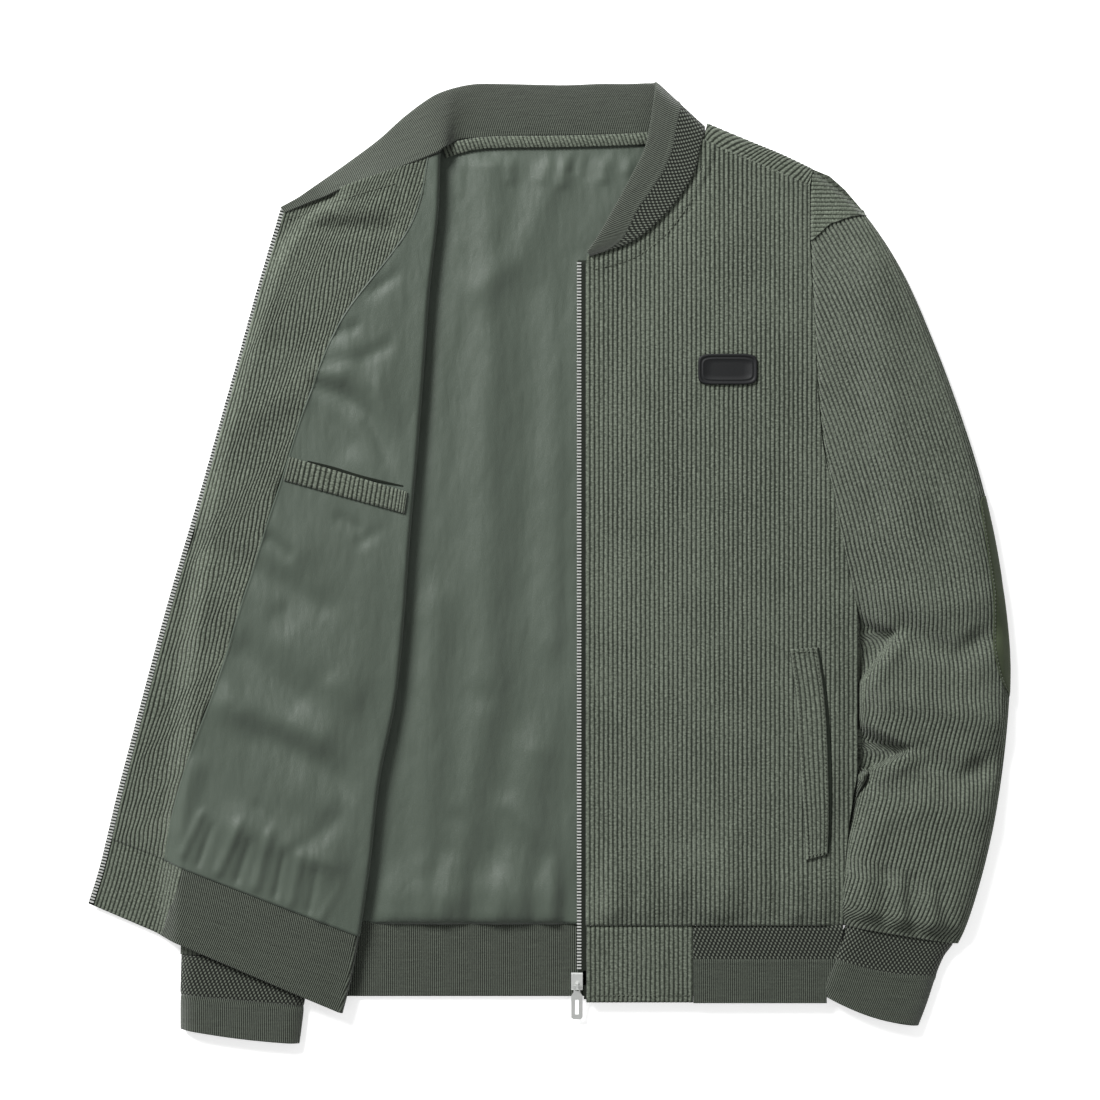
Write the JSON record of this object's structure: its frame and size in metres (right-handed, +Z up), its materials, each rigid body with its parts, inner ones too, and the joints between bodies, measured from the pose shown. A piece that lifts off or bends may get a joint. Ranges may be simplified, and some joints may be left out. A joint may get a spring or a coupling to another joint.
{
  "type": "corduroy jacket",
  "caption": "Wide-wale corduroy bomber jacket laid flat with its right front opened out: satin lining, rib collar, cuffs and hem, zip with a hinged pull tab, elbow patch and chest patch.",
  "frame": {"origin": "Middle of the jacket's outline seen from above, on the surface it lies on (z = 0).", "axes": "+Z up from the surface, +Y towards the collar, +X towards the wearer's left sleeve."},
  "size_m": [0.7214, 0.7516, 0.027],
  "materials": {
    "corduroy": "wide-wale cotton corduroy, grey olive",
    "satin": "plain satin lining, soft sheen",
    "rib_knit": "fine rib knit with a honeycomb pique border",
    "suede": "napped suede",
    "rubber": "moulded, matt",
    "zip_tape": "woven tape",
    "nickel": "worn nickel plate"
  },
  "bodies": {
    "jacket": {"back_shell": "corduroy", "back_lining": "satin", "back_hem_rib": "rib_knit", "neck_binding": "corduroy", "right_sleeve": "corduroy", "right_cuff": "rib_knit", "right_front": "corduroy", "right_front_lining": "satin", "right_facing": "corduroy", "right_inner_welt": "corduroy", "right_hem_tab": "corduroy", "right_hem_rib": "rib_knit", "right_zip_chain": "nickel", "left_front": "corduroy", "left_pocket_welt": "corduroy", "chest_patch": "rubber", "left_hem_tab": "corduroy", "left_hem_rib": "rib_knit", "left_yoke": "corduroy", "left_sleeve": "corduroy", "left_sleeve_cap": "corduroy", "left_elbow_patch": "suede", "left_cuff": "rib_knit", "collar": "rib_knit", "left_zip_tape": "zip_tape", "left_zip_chain": "nickel", "zip_slider": "nickel"},
    "pull": {"zip_pull": "nickel"}
  },
  "joints": [
    {"name": "pull_hinge", "type": "hinge", "parent": "jacket", "child": "pull", "pos_m": [0.0222, -0.3302, 0.0089], "axis": [-1, 0, 0], "range_deg": [0, 165]}
  ]
}
